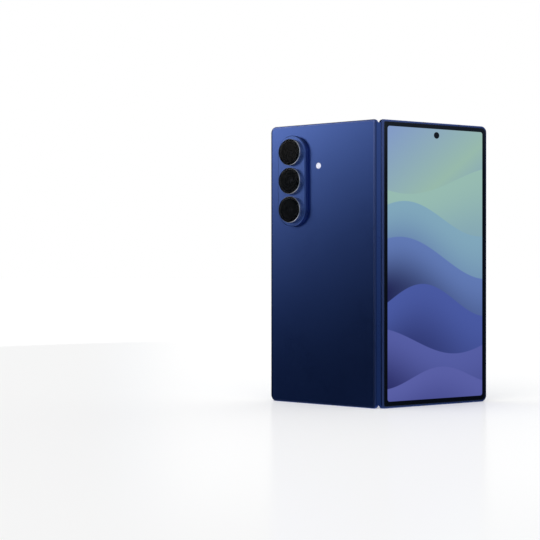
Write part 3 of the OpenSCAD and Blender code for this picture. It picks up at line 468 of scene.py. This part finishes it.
for name, middle, length, dish, body in (("volume_rocker", 103.5, 21.0, 0.0, "volume_key"),
                                         ("power_key", 80.0, 15.0, 0.06, "power_button")):
    # (drawn in by, across, longer by) from the flange to the middle of the face
    face = half_w + key_out
    bend = np.linspace(0, math.pi / 2, 7)[1:]
    steps = [(-flange_lap, flange_s, flange_more), (-flange_lap, flange_s + flange_t, flange_more),
             (0.0, flange_s + flange_t, 0.0), (0.0, face - key_round, 0.0)]
    steps += [(key_round * (1 - math.cos(b)), face - key_round + key_round * math.sin(b), 0.0) for b in bend]
    steps += [(0.36, face - dish, 0.0), (0.6, face - 1.3 * dish, 0.0)]
    rings = []
    for inset, s, more in steps:
        ring = pill(length / 2 + more - flange_lap * (more > 0), key_w / 2, inset)
        rings.append(in_half(-1, s, key_d + ring[:, 0], middle + ring[:, 1]))
    key = show(name, closed_loft(name, np.array(rings)), frame_blue)
    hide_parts(name)
    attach(key, body)

# ---------------------------------------------------------------- inner display
# The flexible display: a thin laminate under a polymer film that is bonded to
# both halves and rolls over the hinge; its picture crosses the fold.
display_t, low_z, high_z = 0.4, 1.6, 156.8
display_s, bend_w, free_r = 70.25, 6.0, 2.2

# layered hills: each layer has a wavy crest, light along it and darker below
hills, given, gives = group("layered_hills", [("Vector", "Vector", (0, 0, 0)), ("Stretch", "Float", 1.0)],
                            [("Colour", "Color")])
at = put(hills, "SeparateXYZ", {0: given["Vector"]}).outputs
across = sums(hills, "MULTIPLY", at["X"], given["Stretch"])


def srgb(*levels):
    """Linear colour of 8-bit display levels."""
    c = np.array(levels) / 255
    return (*np.where(c <= 0.04045, c / 12.92, ((c + 0.055) / 1.055) ** 2.4), 1.0)


sky_tone = put(hills, "ValToRGB", {0: sums(hills, "MULTIPLY_ADD", across, -0.35, at["Y"])})
ramp = sky_tone.color_ramp
ramp.elements[0].position, ramp.elements[0].color = 0.35, srgb(120, 150, 190)
ramp.elements[1].position, ramp.elements[1].color = 0.95, srgb(128, 152, 196)
ramp.elements.new(0.6).color = srgb(150, 184, 170)
picture = sky_tone.outputs[0]
for crest, swing, waves, phase, reach, sunny, shaded in (
        (0.80, 0.055, 0.55, 0.62, 0.30, (150, 186, 176), (98, 130, 182)),
        (0.66, 0.060, 0.70, 0.10, 0.24, (128, 166, 186), (74, 88, 158)),
        (0.52, 0.075, 0.60, 0.15, 0.19, (96, 120, 178), (24, 24, 72)),
        (0.37, 0.060, 0.80, 0.95, 0.26, (72, 88, 160), (30, 31, 84)),
        (0.23, 0.050, 0.65, 0.30, 0.22, (84, 92, 162), (38, 40, 96)),
        (0.10, 0.035, 0.90, 0.75, 0.16, (88, 94, 164), (54, 58, 122))):
    bow = sums(hills, "SINE", sums(hills, "MULTIPLY_ADD", across, 2 * math.pi * waves, 2 * math.pi * phase))
    line = sums(hills, "MULTIPLY_ADD", bow, swing, crest)
    below = sums(hills, "SUBTRACT", line, at["Y"])
    fall = put(hills, "MapRange", {"Value": below, "From Max": reach},
               interpolation_type="SMOOTHSTEP").outputs[0]
    fall = sums(hills, "MULTIPLY", fall, sums(hills, "POWER", 2.0, sums(hills, "MULTIPLY", across, -1.3)))
    body_tone = put(hills, "Mix", {0: fall, 6: srgb(*sunny), 7: srgb(*shaded)}, data_type="RGBA").outputs[2]
    mask = put(hills, "MapRange", {"Value": below, "From Min": -0.0012, "From Max": 0.0012}).outputs[0]
    picture = put(hills, "Mix", {0: mask, 6: picture, 7: body_tone}, data_type="RGBA").outputs[2]
give(hills, gives, Colour=picture)

# finger-clean glass: a slow change of gloss
wiped, given, gives = group("wiped_gloss", [("Roughness", "Float", 0.05), ("Marks", "Float", 0.05)],
                            [("Roughness", "Float")])
spot = put(wiped, "TexCoord").outputs["Object"]
smears = {"Vector": spot, "Scale": 45.0, "Detail": 4.0, "Roughness": 0.6}
marks = put(wiped, "TexNoise", smears).outputs["Fac"]
give(wiped, gives, Roughness=sums(wiped, "MULTIPLY_ADD", marks, given["Marks"], given["Roughness"]))
edge_blur, eye_blur, border_ink = 0.06, 0.08, (0.0006, 0.0007, 0.0012, 1)


def screen_material(name, stretch, window, eye_at, sheet):
    """Glossy sheet, black but for the lit hills inside its window; the camera's eye stays black too.

    window is ((left, right), (low, high), corner radius), eye_at is (across, up, radius) and sheet is
    the sheet's (width, height), all in millimetres; the UV map runs over the sheet from 0 to 1."""
    made = finish(name, wiped, {"Roughness": 0.04, "Marks": 0.05}, Base_Color=(0.001, 0.0015, 0.004, 1),
                  Emission_Strength=1.0, IOR=1.5)
    tree = made.node_tree
    skin = tree.nodes["Principled BSDF"]
    uv = put(tree, "UVMap", uv_map="span").outputs[0]
    size = put(tree, "VectorMath", {0: uv, 1: (sheet[0], sheet[1], 0)}, operation="MULTIPLY").outputs[0]
    mm_at = put(tree, "SeparateXYZ", {0: size}).outputs
    # how far a point lies past the rectangle through the corners' centres; r is the window's edge
    (x0, x1), (y0, y1), r = window
    out = [sums(tree, "SUBTRACT", sums(tree, "ABSOLUTE", sums(tree, "SUBTRACT", mm_at[k], (a + b) / 2)),
                (b - a) / 2 - r)
           for k, a, b in (("X", x0, x1), ("Y", y0, y1))]
    square = [sums(tree, "POWER", sums(tree, "MAXIMUM", v, 0.0), 2.0) for v in out]
    far = sums(tree, "SQRT", sums(tree, "ADD", *square))
    edge_gap = sums(tree, "ADD", far, sums(tree, "MINIMUM", sums(tree, "MAXIMUM", *out), 0.0))
    inside = put(tree, "MapRange", {"Value": edge_gap, "From Min": r - edge_blur, "From Max": r + edge_blur,
                                    "To Min": 1.0, "To Max": 0.0}).outputs[0]
    eye_gap = put(tree, "VectorMath", {0: size, 1: (*eye_at[:2], 0)}, operation="DISTANCE").outputs["Value"]
    clear = put(tree, "MapRange", {"Value": eye_gap, "From Min": eye_at[2] - eye_blur,
                                   "From Max": eye_at[2] + eye_blur}).outputs[0]
    use = put(tree, "Group", node_tree=hills)
    tree.links.new(uv, use.inputs["Vector"])
    use.inputs["Stretch"].default_value = stretch
    ink = put(tree, "Mix", {0: sums(tree, "MULTIPLY", inside, clear), 6: border_ink, 7: use.outputs[0]},
              data_type="RGBA").outputs[2]
    tree.links.new(ink, skin.inputs["Emission Color"])
    return made


def joined(name, meshes):
    """One mesh out of several that keep their own shape."""
    points, faces, spans, base = [], [], [], 0
    for mesh in meshes:
        co = np.empty(len(mesh.vertices) * 3)
        mesh.vertices.foreach_get("co", co)
        points.append(co.reshape(-1, 3))
        faces += [[base + i for i in p.vertices] for p in mesh.polygons]
        uv = np.empty(len(mesh.loops) * 2)
        mesh.uv_layers["span"].data.foreach_get("uv", uv)
        spans.append(uv)
        base += len(mesh.vertices)
        bpy.data.meshes.remove(mesh)
    whole = bpy.data.meshes.new(name)
    whole.from_pydata(np.concatenate(points).tolist(), [], faces)
    whole.uv_layers.new(name="span").data.foreach_set("uv", np.concatenate(spans))
    return whole


def rolled_sheet(name, side, reach, corner_r, depths, z0, z1, rows):
    """One half of a sheet: points s across and z up, rolled about the hinge axis where s is small.

    The roll grows smoothly from none at the fold line to the full fold at bend_w. The sheet ends
    at reach, with corners rounded by corner_r. The UV map runs over the whole sheet from 0 to 1, and
    the back's lies past its side edge, where a screen is black."""
    s = np.concatenate([np.linspace(0, bend_w, 33), np.linspace(bend_w, reach - corner_r, 12)[1:],
                        reach - corner_r + corner_r * np.sin(np.linspace(0, math.pi / 2, 9))[1:]])
    drop = corner_r - np.sqrt(np.maximum(corner_r ** 2 - np.maximum(s - reach + corner_r, 0) ** 2, 0))
    z = z0 + drop[:, None] + (z1 - z0 - 2 * drop[:, None]) * np.linspace(0, 1, rows)
    turn = fold_turn * soft(s, 0, bend_w)
    front, back = (in_half(side, s[:, None], d, z, turn[:, None]) for d in depths)
    spans = np.stack(np.broadcast_arrays(0.5 + side * s[:, None] / (2 * reach), z / height), -1)
    # the two faces and the rims as one band that wraps round the section, then its two ends
    band = np.concatenate([front, back[:, ::-1]], 1)
    spans = np.concatenate([spans, spans[:, ::-1] + (side, 0)], 1)
    ends = []
    for start, order in ((0, 1), ((len(s) - 1) * 2 * rows, -1)):
        near, away = start + np.arange(rows), start + 2 * rows - 1 - np.arange(rows)
        ends += np.stack([near[:-1], near[1:], away[1:], away[:-1]][::order], -1).tolist()
    return outward(skin_mesh(name, band, grid_faces(len(s), 2 * rows, wrap_v=True) + ends, spans))


def rolls(piece, side):
    """Bakes a piece's placement into its mesh; the point of its half at bend_w is worked out but not used.
    """
    edge_at = tuple(in_half(side, bend_w, 0.0, height / 2).tolist())
    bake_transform(piece)


inner_look = screen_material("inner_screen", 1.25, ((1.9, 2 * display_s - 1.9), (3.4, height - 3.4), 1.6),
                             (display_s - 36.4, 151.4, 1.95), (2 * display_s, height))
for name, side, body in (("inner_display_rear", -1, "rear_half"), ("inner_display_cover", 1, "cover_half")):
    sheet = show(name, rolled_sheet(name, side, display_s, free_r, (0.0, display_t), low_z, high_z, 41),
                 inner_look)
    if side < 0:
        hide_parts("inner_display_rear", "inner_display_fold")
    else:
        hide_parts("inner_display_cover")
    rolls(sheet, side)

# the circuits under it roll with the fold in the same way
flex_low, flex_high = (corner[2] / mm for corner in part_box("hinge_flex"))
flex_s, flex_w, flex_d, flex_t = 12.9, 12.0, 1.2, 0.12
for name, side, body in (("hinge_flex_rear", -1, "rear_half"), ("hinge_flex_cover", 1, "cover_half")):
    pair = [rolled_sheet(name, side, flex_s, 0.3, (flex_d, flex_d + flex_t), z, z + flex_w, 9)
            for z in (flex_low, flex_high - flex_w)]
    circuit = show(name, joined(name, pair), amber_film)
    if side < 0:
        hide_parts("hinge_flex")
    rolls(circuit, side)

soft_black = finish("soft_black", moulded, {"Colour": (0.010, 0.010, 0.012, 1), "Roughness": 0.5}, bump=0.1)
dress(soft_black, "rear_bezel", "cover_bezel")

# ---------------------------------------------------------------- rear glass and flash
# Etched glass, matt to the touch, over deep blue paint that holds fine metal
# flake; the flash sits under a small white window with pressed rings.
rear_blue = finish("rear_blue", blasted, {"Colour": (*deep_blue, 1), "Roughness": 0.24, "Grain": 7000.0,
                                          "Drift": 0.03},
                   bump=0.05, Metallic=1.0, Coat_Weight=0.5, Coat_Roughness=0.24)
dress(rear_blue, "rear_cover")

flash_s, flash_z, flash_r, flash_d = 38.0, 134.65, 1.7, 2.6
wave_pitch, wave_high = 0.29, 0.05
lathe_steps = 96


def lathe(name, s, z, profile, closed=False):
    """Profile of (radius, depth) carried round the line through s, z of the rear half."""
    turn = np.linspace(0, 2 * math.pi, lathe_steps, endpoint=False)
    r, depth = np.array(profile).T
    rings = in_half(-1, s + r[:, None] * np.cos(turn), depth[:, None], z + r[:, None] * np.sin(turn))
    span = np.stack(np.broadcast_arrays(turn / (2 * math.pi), np.arange(len(r))[:, None] / len(r)), -1)
    if closed:
        return outward(surface_mesh(name, rings, wrap_u=True, wrap_v=True, uv=span))
    return closed_loft(name, rings, uv=span)


waves = np.linspace(0.12, flash_r - 0.3, 36)
pressed = [(w, half_t - 0.10 + wave_high * math.cos(2 * math.pi * w / wave_pitch)) for w in waves[::-1]]
mesh = lathe("flash_lens", flash_s, flash_z,
             [(flash_r, flash_d), (flash_r, half_t - 0.12), (flash_r - 0.1, half_t - 0.02),
              (flash_r - 0.22, half_t - 0.03)] + pressed)
# painted glow: the window gives off faint light of its own, though the flash is off
flash_white_glow = finish("flash_white_glow", moulded, {"Colour": (0.84, 0.85, 0.98, 1), "Roughness": 0.22}, bump=0.05,
                     Emission_Color=(0.8, 0.82, 1.0, 1), Emission_Strength=0.12, Coat_Weight=0.6)
flash = show("flash_lens", mesh, flash_white_glow)
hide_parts("flash_lens")
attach(flash, "rear_half")

# ---------------------------------------------------------------- camera island, rings and lenses
# One machined and anodised block carries three turned rings; in each a coated
# window covers a black stepped barrel with the front lens at its bottom.
island_blue = finish("island_blue", blasted, {"Colour": (0.065, 0.125, 0.39, 1), "Roughness": 0.27,
                                              "Grain": 5200.0},
                     bump=0.12, Metallic=0.86, Coat_Weight=0.4, Coat_Roughness=0.24)
dress(island_blue, "camera_island")

cam_s, cam_z = 54.8, (142.8, 126.5, 110.2)
island_d, ring_r, ring_h, ring_rim, bore = 7.0, 7.5, 2.4, 0.4, 6.0
ring_top = island_d + ring_h
lens_d, lens_t = ring_top - 0.52, 0.4

# turned metal: circular tool marks that follow the profile
turned, given, gives = group("turned_marks", [
    ("Colour", "Color", (0.5, 0.5, 0.5, 1)), ("Roughness", "Float", 0.25), ("Marks", "Float", 400.0)],
    relief_outs)
spot = put(turned, "UVMap", uv_map="span").outputs[0]
thin = put(turned, "Mapping", {"Vector": spot, "Scale": (0.02, 1.0, 1.0)}).outputs[0]
marks = put(turned, "TexNoise", {"Vector": thin, "Scale": given["Marks"], "Detail": 2.0}).outputs["Fac"]
tone = put(turned, "HueSaturation", {"Color": given["Colour"],
                                     "Value": sums(turned, "MULTIPLY_ADD", marks, 0.2, 0.9)})
give(turned, gives, Colour=tone.outputs[0], Height=marks,
     Roughness=sums(turned, "MULTIPLY_ADD", marks, 0.12, given["Roughness"]))

# the ring's wall, its rounded rim of bare metal, and from there on its black inside
bare = 5
ring_profile = [(ring_r, island_d), (ring_r, ring_top - 0.7), (ring_r, ring_top - 0.36),
                (ring_r - 0.03, ring_top - 0.29), (ring_r - 0.18, ring_top - 0.05),
                (ring_r - 0.21, ring_top - 0.03), (ring_r - 0.25, ring_top - 0.02),
                (ring_r - 0.34, ring_top - 0.04), (ring_r - ring_rim, ring_top - 0.12),
                (ring_r - ring_rim, lens_d), (bore, lens_d), (bore, island_d)]
ring_metal = finish("ring_metal", turned, {"Colour": (0.72, 0.72, 0.75, 1), "Roughness": 0.28}, bump=0.08,
                    Metallic=1.0)
ring_black = finish("ring_black", turned, {"Colour": (0.02, 0.02, 0.022, 1), "Roughness": 0.25}, bump=0.08,
                    Metallic=0.6)
mesh = joined("camera_rings", [lathe("ring", cam_s, z, ring_profile, closed=True) for z in cam_z])
rings_piece = show("camera_rings", mesh, ring_metal)
mesh.materials.append(ring_black)
band = np.arange(len(mesh.polygons)) // lathe_steps % len(ring_profile)
mesh.polygons.foreach_set("material_index", (band >= bare).astype(np.int32))
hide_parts("camera_rings")
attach(rings_piece, "rear_half")

window_r = ring_r - ring_rim - 0.05
window_top = lens_d + lens_t
window_profile = [(window_r, lens_d), (window_r, window_top - 0.1), (window_r - 0.03, window_top - 0.03),
                  (window_r - 0.1, window_top), (window_r - 0.9, window_top), (0.6, window_top)]
window_clear = finish("window_clear", wiped, {"Roughness": 0.015, "Marks": 0.02},
                      Base_Color=(0.24, 0.24, 0.25, 1), IOR=1.2, Transmission_Weight=1.0)
mesh = joined("camera_lenses", [lathe("window", cam_s, z, window_profile) for z in cam_z])
windows = show("camera_lenses", mesh, window_clear)
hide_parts("camera_lenses")
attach(windows, "rear_half")

# a stepped barrel and a domed front lens for each camera, each lens of its own radius
barrel_r, module_w, plate_d, rear_d, eye_rise = 5.6, 13.0, 1.0, 3.6, 0.9
top = lens_d - 0.06
barrels, eyes = [], []
for z, eye_r in zip(cam_z, (1.5, 1.8, 1.2)):
    profile = [(barrel_r, rear_d - 0.1), (barrel_r, top), (5.2, top), (5.1, top - 0.5),
               (eye_r + 1.7, top - 0.6), (eye_r + 1.6, top - 1.0), (eye_r + 0.9, top - 1.1),
               (eye_r + 0.8, top - 1.5), (eye_r + 0.05, top - 1.6), (eye_r + 0.02, top - 2.1)]
    barrels.append(lathe("barrel", cam_s, z, profile))
    bow = np.linspace(0, 1, 10) * 1.45
    cap = [(eye_r * math.cos(b), top - 1.9 + eye_rise * math.sin(b)) for b in bow]
    eyes.append(lathe("eye", cam_s, z, [(eye_r, top - 2.2)] + cap))
barrel_black = finish("barrel_black", moulded, {"Colour": (0.003, 0.003, 0.003, 1), "Roughness": 0.55},
                      bump=0.1, Specular_IOR_Level=0.05)
barrel_piece = show("camera_barrels", joined("camera_barrels", barrels), barrel_black)
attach(barrel_piece, "rear_half")
eye_glass = finish("eye_glass", turned, {"Colour": (0.006, 0.007, 0.014, 1), "Roughness": 0.05},
                   Coat_Weight=0.3, Coat_Tint=(0.45, 0.5, 1.0, 1), Coat_Roughness=0.02, IOR=1.5)
eye_piece = show("camera_eyes", joined("camera_eyes", eyes), eye_glass)
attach(eye_piece, "rear_half")


def rounded_box(corners, inset, steps):
    """Outline [step, 2] round four corners, drawn in by inset, which is less than any corner's radius.

    corners are (x, y, radius) from the upper right one on, against the clock; each gives a quarter
    circle about its middle, which lies a radius inwards from it."""
    inwards = ((-1, -1), (1, -1), (1, 1), (-1, 1))
    out = []
    for k, ((x, y, r), (a, b)) in enumerate(zip(corners, inwards)):
        t = np.linspace(0, math.pi / 2, steps) + k * math.pi / 2
        out.append(np.stack([x + a * r + (r - inset) * np.cos(t), y + b * r + (r - inset) * np.sin(t)], -1))
    return np.concatenate(out)


blocks = []
wide = module_w / 2
block_corners = [(a * wide, b * wide, 0.8) for a, b in ((1, 1), (-1, 1), (-1, -1), (1, -1))]
for z in cam_z:
    rings = []
    for inset, d in ((0.15, plate_d), (0.0, plate_d + 0.15), (0.0, rear_d - 0.25), (0.15, rear_d - 0.1)):
        ring = rounded_box(block_corners, inset, 8)
        rings.append(in_half(-1, cam_s + ring[:, 0], np.full(len(ring), d), z + ring[:, 1]))
    rings = np.array(rings)
    blocks.append(closed_loft("block", rings, uv=rings[..., [0, 2]] * 10))
block_piece = show("camera_modules", joined("camera_modules", blocks), module_black)
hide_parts("camera_modules")
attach(block_piece, "rear_half")

# ---------------------------------------------------------------- cover glass
# The lit cover display: one glass plate with a softly rounded edge, bonded over
# its panel, with a black printed border and an opening for the camera.
lip_rim, glass_rim, glass_t, glass_gap = 1.4, 1.1, 0.4, 0.03
hinge_r, free_edge_r = 0.97, 2.37
s0, s1 = lip_rim + glass_gap, half_w - glass_rim - glass_gap
z0, z1 = glass_rim + glass_gap, height - glass_rim - glass_gap
glass_corners = ((s1, z1, free_edge_r), (s0, z1, hinge_r), (s0, z0, hinge_r), (s1, z0, free_edge_r))

# (drawn in by, depth) from the back over the rounded edge to the flat face
rings, spans = [], []
for inset, d in ((0.05, half_t - glass_t), (0.0, half_t - glass_t + 0.05), (0.0, half_t - 0.12),
                 (0.03, half_t - 0.05), (0.10, half_t - 0.01), (0.25, half_t), (0.5, half_t), (0.8, half_t)):
    ring = rounded_box(glass_corners, inset, 10)
    rings.append(in_half(1, ring[:, 0], np.full(len(ring), d), ring[:, 1]))
    spans.append(ring / (half_w, height))
mesh = closed_loft("cover_glass", np.array(rings), uv=np.array(spans))
cover_look = screen_material("cover_screen", 1.0, ((3.7, 68.45), (3.65, height - 3.45), 1.4),
                             (36.4, 151.4, 1.85), (half_w, height))
glass = show("cover_glass", mesh, cover_look)
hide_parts("cover_glass")
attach(glass, "cover_half")
